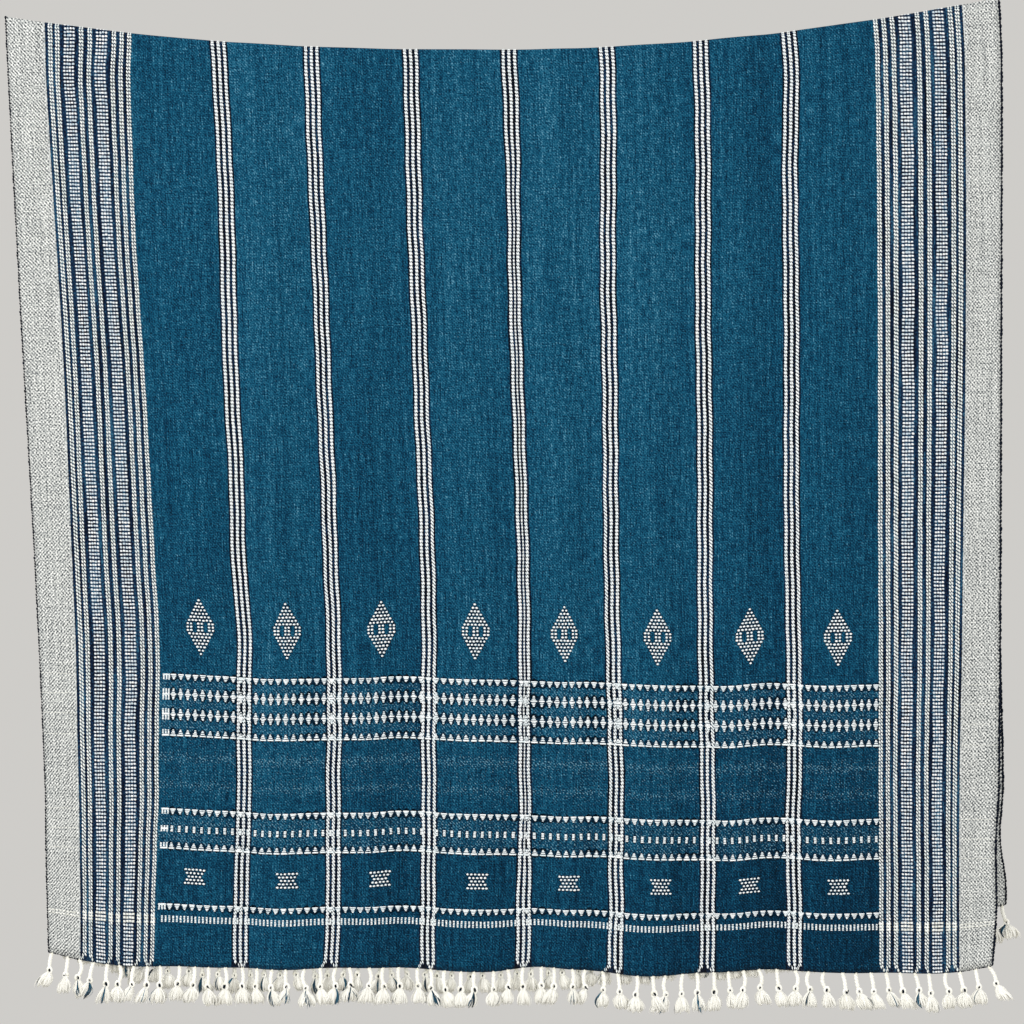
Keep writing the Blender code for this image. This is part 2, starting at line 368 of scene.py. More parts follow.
def net_of(layer):
    """The layer's grid: where its columns and rows hang, and which way its face looks there."""
    edges = [0, BAND]
    for left, right in PANELS:
        edges += [left, right]
    edges += [WIDTH - BAND, WIDTH]
    columns = lines_between(edges, COLUMN_STEP)
    fine = lines_between([MIDDLE_CREASE - TRIPLE_HALF, MIDDLE_CREASE + TRIPLE_HALF], MIDDLE_STEP)
    columns = np.concatenate([columns[columns < fine[0] - 0.01], fine, columns[columns > fine[-1] + 0.01]])
    past = np.zeros(1)
    if layer is FRONT:
        arc = [FOLD_THREAD * step / ARC_STEPS for step in range(ARC_STEPS + 1)]
        past = np.array(arc + [FOLD_THREAD + FOLD_LEG * part - LAYER_GAP / 2 for part in (0.5, 1)])
    top = top_of(layer, columns / WIDTH)
    share_up = np.arange(FALL_ROWS)[:, None] / FALL_ROWS
    up = np.concatenate([top * share_up, top + past[:, None]])
    across = np.broadcast_to(columns, up.shape)
    flat_across, flat_up = across.ravel(), up.ravel()
    reach = 0.8
    warp = surface(layer, flat_across, flat_up + reach) - surface(layer, flat_across, flat_up - reach)
    weft = surface(layer, flat_across + reach, flat_up) - surface(layer, flat_across - reach, flat_up)
    normal = np.cross(weft, warp) * -layer.side
    normal /= np.linalg.norm(normal, axis=1)[:, None]
    places = surface(layer, flat_across, flat_up).reshape(*up.shape, 3)
    return Net(columns, top, past, places, normal.reshape(places.shape))


NETS = {layer.name: net_of(layer) for layer in LAYERS}


def hang(layer, flat):
    """Hangs flat points on the layer's net: across, up, and proud of the cloth's outer face."""
    net = NETS[layer.name]
    across, up, proud = np.asarray(flat, float).reshape(-1, 3).T
    column = np.clip(np.searchsorted(net.columns, across) - 1, 0, len(net.columns) - 2)
    right = (across - net.columns[column]) / (net.columns[column + 1] - net.columns[column])
    top = net.top[column] + right * (net.top[column + 1] - net.top[column])
    over = FALL_ROWS + np.interp(up - top, net.past, np.arange(len(net.past)))
    row_place = np.where(up < top, up / top * FALL_ROWS, over)
    row = np.clip(np.floor(row_place).astype(int), 0, len(net.places) - 2)
    high = (row_place - row)[:, None]
    right = right[:, None]

    def read(values):
        low = values[row, column] * (1 - right) + values[row, column + 1] * right
        next_row = values[row + 1, column] * (1 - right) + values[row + 1, column + 1] * right
        return low * (1 - high) + next_row * high

    normal = read(net.normals)
    normal /= np.linalg.norm(normal, axis=1)[:, None]
    return read(net.places) + normal * proud[:, None]


def linear(code):
    """An sRGB hex value as a linear colour with full alpha."""
    parts = [int(code[place:place + 2], 16) / 255 for place in (1, 3, 5)]
    return (*(p / 12.92 if p <= 0.04045 else ((p + 0.055) / 1.055) ** 2.4 for p in parts), 1.0)


def add(tree, kind, inputs=None, **settings):
    """Adds a node with its settings, and with its sockets' values or links."""
    node = tree.nodes.new(kind)
    for name, value in settings.items():
        setattr(node, name, value)
    for socket, value in (inputs or {}).items():
        if isinstance(value, bpy.types.NodeSocket):
            tree.links.new(value, node.inputs[socket])
        else:
            node.inputs[socket].default_value = value
    return node


def ramp(tree, value, stops, interpolation="LINEAR"):
    """The colour or tone that a ramp of stops gives for a value."""
    node = add(tree, "ShaderNodeValToRGB", {"Fac": value})
    elements = node.color_ramp.elements
    for place, (at, colour) in enumerate(stops):
        stop = elements[place] if place < 2 else elements.new(at)
        stop.position = at
        stop.color = linear(colour) if isinstance(colour, str) else (colour, colour, colour, 1)
    node.color_ramp.interpolation = interpolation
    return node.outputs["Color"]


def between(tree, factor, first, second):
    """A tone between two others."""
    return add(tree, "ShaderNodeMix", {"Factor": factor, "A": first, "B": second}).outputs[0]


def blended(tree, factor, first, second, blend_type="MIX"):
    """A colour made from two others."""
    inputs = {"Factor": factor, 6: first, 7: second}
    return add(tree, "ShaderNodeMix", inputs, data_type="RGBA", blend_type=blend_type).outputs[2]


def uv_place(tree, uv_map):
    """The place on one of the mesh's own maps: whole, and its two parts."""
    where = add(tree, "ShaderNodeUVMap", uv_map=uv_map).outputs["UV"]
    parts = add(tree, "ShaderNodeSeparateXYZ", {0: where}).outputs
    return where, parts["X"], parts["Y"]


def width_share(tree, across):
    """The share of the cloth's width, from the place across it in metres."""
    return add(tree, "ShaderNodeMath", {0: across, 1: WIDTH * MM}, operation="DIVIDE").outputs[0]


def wool(name, roughness=0.92, sheen=0.2):
    """A Principled material for wool, whose fine loose fibres give it a weak sheen."""
    material = bpy.data.materials.new(name)
    material.use_nodes = True
    shader = material.node_tree.nodes["Principled BSDF"]
    shader.inputs["Roughness"].default_value = roughness
    shader.inputs["Specular IOR Level"].default_value = 0.06
    shader.inputs["Sheen Weight"].default_value = sheen
    shader.inputs["Sheen Roughness"].default_value = 0.45
    return material, material.node_tree


def coloured(material, colour, height, depth):
    """Gives wool its colour, and raises its threads by a tone, by so many millimetres."""
    tree = material.node_tree
    shader = tree.nodes["Principled BSDF"]
    bump = add(tree, "ShaderNodeBump", {"Height": height, "Strength": 0.5, "Distance": depth * MM})
    tree.links.new(colour, shader.inputs["Base Color"])
    tree.links.new(bump.outputs["Normal"], shader.inputs["Normal"])
    return material


def thread_noise(tree, where, across, up, detail=2.0):
    """Noise whose grains are so many millimetres across and up the cloth."""
    grains = (1 / (across * MM), 1 / (up * MM), 1)
    scaled = add(tree, "ShaderNodeVectorMath", {0: where, 1: grains}, operation="MULTIPLY")
    inputs = {"Vector": scaled.outputs["Vector"], "Scale": 1.0, "Detail": detail, "Roughness": 0.6}
    return add(tree, "ShaderNodeTexNoise", inputs, noise_dimensions="2D").outputs["Fac"]


def fibres(tree, grain, detail=2.0):
    """Noise with grains of so many millimetres, for the fibres of a yarn."""
    where = add(tree, "ShaderNodeTexCoord").outputs["Object"]
    inputs = {"Vector": where, "Scale": 1 / (grain * MM), "Detail": detail}
    return add(tree, "ShaderNodeTexNoise", inputs).outputs["Fac"]


def weighed(tree, parts, start):
    """Adds up (socket, weight) parts, each taken about its middle of a half."""
    total = start - sum(weight for socket, weight in parts) / 2
    for socket, weight in parts:
        inputs = {0: socket, 1: weight, 2: total}
        total = add(tree, "ShaderNodeMath", inputs, operation="MULTIPLY_ADD").outputs[0]
    return total


def twill_lines(tree, where, period, lean, distortion):
    """Slanting lines of twill: period is across the cloth, and lean is 1 for up to the right."""
    slanted = add(tree, "ShaderNodeVectorMath", {0: where, 1: (1, -lean, 0)}, operation="MULTIPLY")
    inputs = {
        "Vector": slanted.outputs["Vector"],
        "Scale": 0.2 * math.pi / (period * MM),
        "Distortion": distortion,
        "Detail": 2.0,
        "Detail Scale": 1.5,
    }
    wave = add(tree, "ShaderNodeTexWave", inputs, wave_type="BANDS", bands_direction="DIAGONAL")
    return wave.outputs["Fac"]


# The blue varies in broad upright bands, partly uneven dye and partly painted shade and light of soft
# folds, darkest at the fold near 0.77: a tone of 0.5 is the mean
DYE_AND_FOLD_SHADE_BANDS = table(
    "share tone",
    (0.124, 0.44), (0.205, 0.45), (0.240, 0.58), (0.262, 0.45), (0.282, 0.56), (0.312, 0.44),
    (0.405, 0.43), (0.443, 0.56), (0.500, 0.44), (0.530, 0.58), (0.569, 0.48), (0.630, 0.58),
    (0.705, 0.40), (0.726, 0.52), (0.768, 0.32), (0.799, 0.50), (0.848, 0.41),
)

# By its height on the cloth, in metres up from the hem: how light the blue is. It is painted darker
# towards the hem as shade, darkest in a thin line at the hem itself
BLUE_SHADE_BY_HEIGHT = table(
    "up tone",
    (0.0, 0.12), (0.004, 0.31), (0.10, 0.34), (0.20, 0.405), (0.32, 0.45), (0.50, 0.48), (0.75, 0.52),
    (0.96, 0.50),
)

# In metres up from the hem too: how thickly pale flecks show
FLECKED = table(
    "up flecks",
    (0.000, 0.00), (0.117, 0.00), (0.121, 0.24), (0.158, 0.24), (0.162, 0.00), (0.180, 0.12),
    (0.186, 0.30), (0.192, 0.12), (0.206, 0.12), (0.214, 0.32), (0.222, 0.10), (0.233, 0.08),
    (0.238, 0.24), (0.294, 0.24), (0.299, 0.00),
)


def blue_twill():
    """Indigo-dyed wool twill: its warp shows as fine upright streaks, its weft as weaker ones."""
    material, tree = wool("blue wool twill", sheen=0.05)
    where, across, up = uv_place(tree, "weave")
    share = width_share(tree, across)
    # Towards the hem it is a little lighter on the left, as painted light, and darker on the right, as
    # painted shade
    low = ramp(tree, up, ((0.05, 1.0), (0.35, 0.0)))
    side_light_and_shade = ramp(tree, share, ((0.2, 0.59), (0.8, 0.42), (0.45, 0.5)))
    slants = twill_lines(tree, where, 3.4, -1, 3.0)
    parts = [
        (thread_noise(tree, where, 1.5, 14, 1.0), 0.6),
        (thread_noise(tree, where, 4.5, 200, 2.0), 0.35),
        (thread_noise(tree, where, 16, 1.5, 1.0), 0.4),
        (slants, 0.2),
        (thread_noise(tree, where, 1.5, 1.6, 0.0), 0.65),
        # Upright bands of uneven dye, with painted shade and light of the folds
        (ramp(tree, share, DYE_AND_FOLD_SHADE_BANDS, "B_SPLINE"), 0.8),
        # Painted shade: the blue darkens towards the hem
        (ramp(tree, up, BLUE_SHADE_BY_HEIGHT), 0.9),
        (between(tree, low, 0.5, side_light_and_shade), 1.0),
    ]
    tone = weighed(tree, parts, 0.495)
    stops = ((0.0, "#001625"), (1.0, "#5F8FA5"), (0.3, "#042D46"), (0.5, "#0B445F"), (0.7, "#1B5A75"))
    ground = ramp(tree, tone, stops)
    specks = thread_noise(tree, where, 1.8, 1.5, 0.0)
    zone = ramp(tree, up, FLECKED)
    picked = weighed(tree, [(specks, 1.0), (slants, 0.25), (zone, 1.0)], 0.42)
    shown = ramp(tree, picked, ((0.32, 0.0), (0.50, 0.6)))
    return coloured(material, blended(tree, shown, ground, linear("#7BA6B8")), tone, 0.4)


def navy_twill():
    """The dark ground of the borders and of the lines: navy and near-black warp ends."""
    material, tree = wool("navy wool twill", sheen=0.1)
    where, across, up = uv_place(tree, "weave")
    # It is nearly black between the lines of the field
    inner = ramp(tree, width_share(tree, across), ((0.12, 0.5), (0.88, 0.5), (0.14, 0.25), (0.86, 0.25)))
    parts = [
        (thread_noise(tree, where, 1.7, 20, 1.0), 0.7),
        (thread_noise(tree, where, 1.6, 1.9, 1.0), 1.4),
        (thread_noise(tree, where, 9, 120, 1.0), 0.9),
        (inner, 1.0),
    ]
    tone = weighed(tree, parts, 0.44)
    stops = ((0.0, "#02060F"), (1.0, "#34657F"), (0.3, "#06142A"), (0.55, "#132B47"), (0.75, "#1A415B"))
    return coloured(material, ramp(tree, tone, stops), tone, 0.4)


def grey_twill():
    """Ivory warp crossed by a blue-grey weft, in a twill that slants both ways."""
    material, tree = wool("grey wool twill")
    where, across, up = uv_place(tree, "weave")
    falling = twill_lines(tree, where, 3.4, -0.85, 1.2)
    rising = twill_lines(tree, where, 3.3, 0.85, 1.2)
    # By the left selvedge the rising lines lead near the hem, and the falling ones near the fold
    leading = ramp(tree, up, ((0.2, 0.8), (0.8, 0.25), (0.5, 0.5)))
    lead = between(tree, across, leading, 0.4)
    parts = [
        (between(tree, lead, falling, rising), 0.75),
        (thread_noise(tree, where, 1.6, 1.6, 0.0), 1.05),
        (thread_noise(tree, where, 2.2, 90, 2.0), 0.4),
        (thread_noise(tree, where, 60, 2.4, 2.0), 0.3),
    ]
    tone = weighed(tree, parts, 0.465)
    stops = ((0.0, "#2B3136"), (1.0, "#F2F3F0"), (0.25, "#7E8284"), (0.5, "#B3B6B4"), (0.75, "#D2D4D1"))
    return coloured(material, ramp(tree, tone, stops), tone, 0.2)


def linked(name, data):
    """A new object in the scene."""
    thing = bpy.data.objects.new(name, data)
    bpy.context.scene.collection.objects.link(thing)
    return thing


def put_in_scene(name, mesh, layer_pieces):
    """Links a finished mesh as a piece that rides on the shawl."""
    piece = linked(name, mesh)
    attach(piece, "root")
    layer_pieces.append(piece)
    return piece


def draw_by(mesh, uv_map):
    """Makes one of a mesh's maps the one that it is drawn by."""
    mesh.uv_layers.active = mesh.uv_layers[uv_map]
    mesh.uv_layers[uv_map].active_render = True


BAKED_OUTER = 0.88
BAKED_INNER = 0.9
BAKED_EDGE = 0.01


def cloth(layer, finishes):
    """One layer as a thin woven shell: a grid, extruded to its inner face and then hung."""
    net = NETS[layer.name]
    columns = net.columns
    rows = len(net.places) - 1

    grid = bmesh.new()
    bmesh.ops.create_grid(grid, x_segments=len(columns) - 1, y_segments=rows, size=0.5)
    extruded = bmesh.ops.extrude_face_region(grid, geom=grid.faces[:])["geom"]
    raised = [vert for vert in extruded if isinstance(vert, bmesh.types.BMVert)]
    bmesh.ops.translate(grid, verts=raised, vec=(0, 0, 1))
    bmesh.ops.recalc_face_normals(grid, faces=grid.faces)
    mesh = bpy.data.meshes.new(layer.name + "_cloth")
    grid.to_mesh(mesh)
    grid.free()

    at = np.empty(len(mesh.vertices) * 3)
    mesh.vertices.foreach_get("co", at)
    at = at.reshape(-1, 3)
    across = columns[np.rint((at[:, 0] + 0.5) * (len(columns) - 1)).astype(int)]
    row = np.rint((at[:, 1] + 0.5) * rows).astype(int)
    past = net.past[np.clip(row - FALL_ROWS, 0, len(net.past) - 1)]
    up = top_of(layer, across / WIDTH) * np.clip(row / FALL_ROWS, 0, 1) + past
    outer = at[:, 2] > 0.5
    flat = spots(across, up, np.where(outer, 0.0, -CLOTH))
    mesh.vertices.foreach_set("co", (hang(layer, flat) * MM).ravel())

    corner = np.empty(len(mesh.loops), int)
    mesh.loops.foreach_get("vertex_index", corner)
    face = np.repeat(np.arange(len(mesh.polygons)), 4)
    centre = across[corner].reshape(-1, 4).mean(1)
    slot = np.full(len(centre), 1)
    slot[(centre < BAND) | (centre > WIDTH - BAND)] = 2
    for left, right in PANELS:
        slot[(centre > left) & (centre < right)] = 0
    mesh.polygons.foreach_set("material_index", slot.astype(np.int32))
    for finish in finishes:
        mesh.materials.append(finish)
    weave = (flat[corner, :2] * MM).astype(np.float32)
    mesh.uv_layers.new(name="weave").uv.foreach_set("vector", weave.ravel())

    # The bake's map: the outer face has most of it, then the edges and the inner face
    outside = outer[corner].reshape(-1, 4).sum(1)[face]
    u = across[corner] / WIDTH
    faces_u = [u * BAKED_OUTER, BAKED_INNER + u * (1 - BAKED_INNER)]
    edges_u = BAKED_OUTER + BAKED_EDGE / 2 + u * BAKED_EDGE
    u = np.select([outside == 4, outside == 0], faces_u, edges_u)
    v = up[corner] / up.max()
    baked = spots(u, v).astype(np.float32)
    mesh.uv_layers.new(name="OFBake").uv.foreach_set("vector", baked.ravel())
    draw_by(mesh, "weave")
    mesh.shade_smooth()
    mesh.update()
    return mesh


front_pieces = []
back_pieces = []
pieces_of = {"front": front_pieces, "back": back_pieces}
cloth_finishes = (blue_twill(), navy_twill(), grey_twill())
front_cloth = put_in_scene("front_cloth", cloth(FRONT, cloth_finishes), [])
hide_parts("front_fall", "top_fold")
back_cloth = put_in_scene("back_cloth", cloth(BACK, cloth_finishes), [])
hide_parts("back_fall")

# Ivory warp lines
# Ivory wool ends, two side by side, whose short slanting floats make a braided line: seven
# lines in each border, and three together at seven places across the field.

TRIPLE_PITCH = 5.9
BORDER_LINES = (42.1, 49.3, 73.7, 82.6, 107.9, 116.4, 124.6)
BAND_EDGE_LINE = 35.8
FLOAT_PITCH = 3.6
FIRST_FLOAT = 0.6
LAST_FLOAT = 0.4
FLOAT_HEIGHT = 0.5
EDGE_HEIGHT = 0.3
SUNK = 0.16
RIDGE_LONG = 0.84
BEND_PITCH = 1.5
BEND_SHORT = 0.5
BEND_INSIDE = 0.6
BEND_OUTSIDE = 1.6
GATHERED = 8.0
GATHER = 0.75
DRAWN_TOGETHER = 0.7
DRAWN_THIN = 0.5
LINE_UNEVEN = 0.08
CORD_COUNT = 62
FIRST_CORD = 3.3
CORD_UNEVEN = 1.3
chance = np.random.RandomState(7)

Shape = namedtuple("Shape", "points faces along")


def shape_of(solid, length_axis, start=-0.5):
    """A small bmesh as points and faces, ready to be repeated, and each point's place along it."""
    bmesh.ops.recalc_face_normals(solid, faces=solid.faces)
    solid.verts.index_update()
    points = np.array([vert.co for vert in solid.verts])
    faces = [[vert.index for vert in face.verts] for face in solid.faces]
    solid.free()
    return Shape(points, faces, points[:, length_axis] - start)


def pointed_float(sides, length_axis):
    """A low float, pointed at both ends, with its flat underside just in the cloth."""
    solid = bmesh.new()
    bmesh.ops.create_cone(solid, cap_ends=True, segments=sides, radius1=0.5, radius2=0, depth=1)
    if length_axis == 0:
        bmesh.ops.rotate(solid, verts=solid.verts, matrix=Matrix.Rotation(math.pi / 2, 3, "Z"))
    return shape_of(solid, length_axis)


def weft_float():
    """A float along the weft: a box with its top drawn in to a ridge."""
    solid = bmesh.new()
    bmesh.ops.create_cube(solid, size=1)
    top = [vert for vert in solid.verts if vert.co.z > 0]
    bmesh.ops.scale(solid, verts=top, vec=(RIDGE_LONG, 0, 1))
    bmesh.ops.remove_doubles(solid, verts=top, dist=0.001)
    return shape_of(solid, 0)


BEAD = pointed_float(6, 1)
TOOTH = pointed_float(4, 1)
STITCH = pointed_float(6, 0)
WEFT_FLOAT = weft_float()


def joined(name, shape, points, tone, finishes, finish=0):
    """Many copies of a shape as one mesh. points[copy, vertex] is in millimetres."""
    copies, corners = points.shape[:2]
    first = (np.arange(copies) * corners)[:, None]
    faces = []
    for face in shape.faces:
        faces += (first + np.array(face)).tolist()
    mesh = bpy.data.meshes.new(name)
    mesh.from_pydata((points.reshape(-1, 3) * MM).tolist(), [], faces)
    for material in finishes:
        mesh.materials.append(material)
    mesh.polygons.foreach_set("material_index", np.full(len(faces), finish, np.int32))
    corner = np.empty(len(mesh.loops), int)
    mesh.loops.foreach_get("vertex_index", corner)
    threads = spots(np.repeat(tone, corners), np.tile(shape.along, copies))
    threads = threads[corner].astype(np.float32)
    # A yarn's colour goes by its own tone and by the place along it, and the map named OFBake holds them
    # too
    for uv_map in ("thread", "OFBake"):
        mesh.uv_layers.new(name=uv_map).uv.foreach_set("vector", threads.ravel())
    draw_by(mesh, "thread")
    mesh.shade_smooth()
    return mesh


Yarns = namedtuple("Yarns", "across up wide long slant")


def woven_floats(kind, layer, yarns, finish, height=FLOAT_HEIGHT, shape=TOOTH):
    """Floats laid on a layer's face. Each is wide across and long up the cloth."""
    x, y, z = shape.points.T
    across, up, wide, long, slant = (np.asarray(column, float)[:, None] for column in yarns)
    proud = ((z + 0.5) * (1 + SUNK) - SUNK) * height
    flat = spots(across + x * wide + y * slant, up + y * long, proud)
    points = hang(layer, flat).reshape(flat.shape)
    name = layer.name + "_" + kind
    mesh = joined(name, shape, points, chance.uniform(0.02, 0.98, len(across)), [finish])
    put_in_scene(name, mesh, pieces_of[layer.name])


def ivory_yarn(name, dark, light, ends):
    """Undyed wool, carded and spun: each float a little whiter or greyer, with painted shade at its ends,
    where it dips into the cloth.
    """
    material, tree = wool(name, roughness=0.88, sheen=0.3)
    tone, along = uv_place(tree, "thread")[1:]
    hue = ramp(tree, tone, ((0.0, dark), (1.0, light)))
    # Painted shade: each float's colour darkens towards both its ends
    shade = ramp(tree, along, ((0.0, ends), (1.0, ends), (0.2, "#FFFFFF"), (0.8, "#FFFFFF")))
    return coloured(material, blended(tree, 1.0, hue, shade, "MULTIPLY"), fibres(tree, 0.7), 0.3)


ivory_float = ivory_yarn("ivory wool float", "#E2ECEF", "#FDFFFF", "#DAE4E9")
border_float = ivory_yarn("ivory border float", "#D8E2E0", "#FDFFFC", "#A9BAC0")
grey_float = ivory_yarn("grey wool float", "#A4ABAD", "#E2E5E4", "#B8BFC1")
cord_roots = np.linspace(FIRST_CORD, WIDTH - FIRST_CORD, CORD_COUNT)
cord_roots[1:-1] += chance.normal(0, CORD_UNEVEN, CORD_COUNT - 2)


def nearest_cord(across):
    return cord_roots[np.abs(across - cord_roots).argmin()]


def cloth_end(layer, across):
    """How far up the cloth a piece of cloth ends: past the fold in front, at the seam behind."""
    past = FOLD_THREAD + FOLD_LEG - LAYER_GAP / 2 if layer is FRONT else 0.0
    return top_of(layer, np.array([across / WIDTH]))[0] + past


def evenly(start, end, pitch):
    """Places from one end to the other, about one pitch apart."""
    return np.linspace(start, end, round((end - start) / pitch) + 1)


# A line's columns: how far aside they stand, how wide, long and slanting their floats are, and
# how far up the right one is ahead of the left
Braid = namedtuple("Braid", "sides wide long slant ahead")
CHAIN = Braid((-0.72, 0.72), 2.4, 5.1, -1.4, 1.0)
TWIST = Braid((-1.25, 1.25), 2.9, 4.9, -1.8, 1.0)
TEETH = Braid((0.0,), 2.8, 4.2, 0.0, 0.0)


def float_places(layer, middle, ahead):
    """How far up the floats of one column stand, and the share of its length that each has."""
    start = FLOAT_PITCH * FIRST_FLOAT + ahead
    end = cloth_end(layer, middle) - FLOAT_PITCH * LAST_FLOAT
    if layer is BACK:
        up = evenly(start, end, FLOAT_PITCH)
        return up, np.ones(len(up))
    # Over the fold the floats are short, so that they bend with it
    bend = top_of(layer, np.array([middle / WIDTH]))[0]
    past_bend = bend + FOLD_THREAD
    below = evenly(start, bend - BEND_OUTSIDE, FLOAT_PITCH)
    over = evenly(bend + BEND_INSIDE, past_bend - BEND_INSIDE, BEND_PITCH)
    behind = evenly(past_bend + BEND_OUTSIDE, end, FLOAT_PITCH)
    short = np.repeat([1.0, BEND_SHORT, 1.0], [len(below), len(over), len(behind)])
    return np.concatenate([below, over, behind]), short


def warp_lines(layer, places, braid):
    rows = []
    for middle in places:
        for side in braid.sides:
            up, short = float_places(layer, middle, braid.ahead if side > 0 else 0)
            # The last floats of a line are drawn in towards the cord below it
            drawn = 1 - smooth_step(up / GATHERED)
            aside = (nearest_cord(middle) - middle) * GATHER * drawn
            aside += chance.normal(0, LINE_UNEVEN, len(up))
            across = middle + side * (1 - DRAWN_TOGETHER * drawn) + aside
            wide = braid.wide * (1 - DRAWN_THIN * drawn) * chance.uniform(0.9, 1.1, len(up))
            long = braid.long * short * chance.uniform(0.93, 1.07, len(up))
            rows.append((across, up, wide, long, braid.slant * short))
    return Yarns(*np.concatenate(rows, axis=1))


triple_places = [middle + side * TRIPLE_PITCH for middle in TRIPLES for side in (-1, 0, 1)]
border_places = [*BORDER_LINES, *(WIDTH - place for place in BORDER_LINES)]
edge_places = [BAND_EDGE_LINE, WIDTH - BAND_EDGE_LINE]
for layer in LAYERS:
    woven_floats("triple_lines", layer, warp_lines(layer, triple_places, CHAIN), ivory_float)
    woven_floats("border_lines", layer, warp_lines(layer, border_places, TWIST), border_float)
    woven_floats("band_edges", layer, warp_lines(layer, edge_places, TEETH), grey_float, EDGE_HEIGHT)

# Ladders
# In each border two ladders of ivory weft floats stand between the lines, every rung in
# four short round stitches.

LADDERS = table("place half", (61.6, 5.8), (95.6, 6.2))
RUNG_PITCH = 3.65
RUNG_TALL = 3.0
RUNG_STITCHES = 4
WANDER = 0.5
WANDER_PLACES = np.arange(0, 1000, 40)

# How uneven floats of one kind are: how far out of place, the least and the most share of their
# width and of their length, and the mean and the spread of their slant
Uneven = namedtuple("Uneven", "aside up wide long slant")
RUNG_UNEVEN = Uneven(0.15, 0.12, (1.08, 1.35), (0.85, 1.1), (-0.3, 0.2))
ladder_float = ivory_yarn("pale blue wool float", "#C2D3DF", "#FFFFFF", "#93AABB")


def laid(across, up, wide, long, uneven):
    """Floats laid by hand, each a little out of its place and off its size."""
    count = len(across)
    return Yarns(
        across + chance.normal(0, uneven.aside, count),
        up + chance.normal(0, uneven.up, count),
        wide * chance.uniform(*uneven.wide, count),
        long * chance.uniform(*uneven.long, count),
        chance.normal(*uneven.slant, count),
    )


def ladder_rungs(layer):
    rows = []
    for place, half in LADDERS:
        stitch = half * 2 / RUNG_STITCHES
        for middle in (place, WIDTH - place):
            up = evenly(RUNG_PITCH / 2, cloth_end(layer, middle) - RUNG_PITCH / 2, RUNG_PITCH)
            wander = np.interp(up, WANDER_PLACES, chance.normal(0, WANDER, len(WANDER_PLACES)))
            for number in range(RUNG_STITCHES):
                across = middle + (number - (RUNG_STITCHES - 1) / 2) * stitch + wander
                rows.append(laid(across, up, stitch, RUNG_TALL, RUNG_UNEVEN))
    return Yarns(*np.concatenate(rows, axis=1))


for layer in LAYERS:
    woven_floats("ladders", layer, ladder_rungs(layer), ladder_float, shape=STITCH)

# Rows of small figures
# Extra-weft figures picked by hand in ivory wool: triangles, spindles and dashes, in three
# bands of rows above the hem. They run on at one pitch under the triple lines.

FIGURE_PITCH = 8.04
FIRST_FIGURE = BORDER + 15.9
FIGURE_COUNT = 94

# Single picks as (wide, tall). Their places are up from the row, or shares of a ladder's half.
FIRST_PICK = (8.6, 2.0)
LEG_PLACES = (-3.0, 0.0, 3.0)
LEG_WIDE = 1.9
BLOCK_PICK = (5.5, 2.3)
BLOCK_PLACES = (-3.3, 0.0, 3.3)
BRIGHT_WIDE = 0.5
BRIGHT_TALL = 2.9
BRIGHT_PLACES = (-0.84, -0.28, 0.28, 0.84)
BRIGHT_RUNGS = (12.5, 13.5, 14.5)
BAND_START = 2.0
BAND_PICK = (3.2, 2.1)
BAND_PLACES = (-1.8, 1.8)
THIN_PICK = (2.8, 0.9)
PICK_UNEVEN = Uneven(0.1, 0.1, (0.92, 1.06), (0.95, 1.08), (0, 0.1))

ROWS = table(
    "figure up",
    ("point_down", 298.5),
    ("spindle", 278.5),
    ("spindle", 258.0),
    ("point_up", 236.5),
    ("point_down", 160.5),
    ("dash", 140.4),
    ("point_up", 120.5),
    ("point_down", 63.0),
    ("fine_dash", 48.4),
)

# Each figure's picks, from its base: how far up, how wide and how tall
PICK = "up wide tall"
FIGURES = {
    "point_down": table(PICK, (0, 6.5, 2.0), (-1.6, 5.0, 1.8), (-3.1, 3.4, 1.8), (-4.5, 2.0, 1.5)),
    "point_up": table(PICK, (0, 6.8, 2.2), (2.1, 4.5, 1.9), (3.7, 3.0, 1.8), (5.1, 1.9, 1.4)),
    "spindle": table(
        PICK,
        (-5.0, 2.0, 1.7),
        (-3.4, 2.9, 1.8),
        (-1.7, 4.2, 1.8),
        (0, 6.4, 2.1),
        (1.7, 4.1, 1.8),
        (3.4, 2.8, 1.8),
        (5.0, 2.0, 1.7),
    ),
    "dash": table(PICK, *((up, 2.9, 1.9) for up in (-2.4, -0.8, 0.8, 2.4))),
    "fine_dash": table(PICK, *((up, 2.0, 1.7) for up in (-2.55, -0.85, 0.85, 2.55))),
}


def row_picks(row):
    """One row of figures across the field, as (across, up, wide, tall)."""
    figure = FIGURES[row.figure]
    fine = row.figure == "fine_dash"
    picks = []
    for number in range(FIGURE_COUNT):
        for pick in figure:
            for step in (number, number - 0.5) if fine else (number,):
                across = FIRST_FIGURE + step * FIGURE_PITCH
                picks.append((across, row.up + pick.up, pick.wide, pick.tall))

    # The row starts by the left border with a wide pick that has short legs
    first = FIRST_FIGURE - FIGURE_PITCH
    if fine:
        return picks + [(first, row.up + pick.up, pick.wide, pick.tall) for pick in figure]
    picks.append((first, row.up, *FIRST_PICK))
    for pick in figure:
        picks += [(first + leg, row.up + pick.up, LEG_WIDE, pick.tall) for leg in LEG_PLACES]
    return picks


def border_picks():
    """The lowest row runs on across the borders, and all rows thinly into the grey bands."""
    lowest = ROWS[-1].up
    left = []
    for place in BORDER_LINES:
        left += [(place, lowest + up, *BLOCK_PICK) for up in BLOCK_PLACES]
    for place, half in LADDERS:
        size = (half * BRIGHT_WIDE, BRIGHT_TALL)
        for part in BRIGHT_PLACES:
            left += [(place + part * half, rung * RUNG_PITCH, *size) for rung in BRIGHT_RUNGS]
    for place in np.arange(BAND_START, BAND, FIGURE_PITCH / 2):
        left += [(place, lowest + up, *BAND_PICK) for up in BAND_PLACES]
        left += [(place, row.up, *THIN_PICK) for row in ROWS[:-2]]
    return left + [(WIDTH - across, *rest) for across, *rest in left]


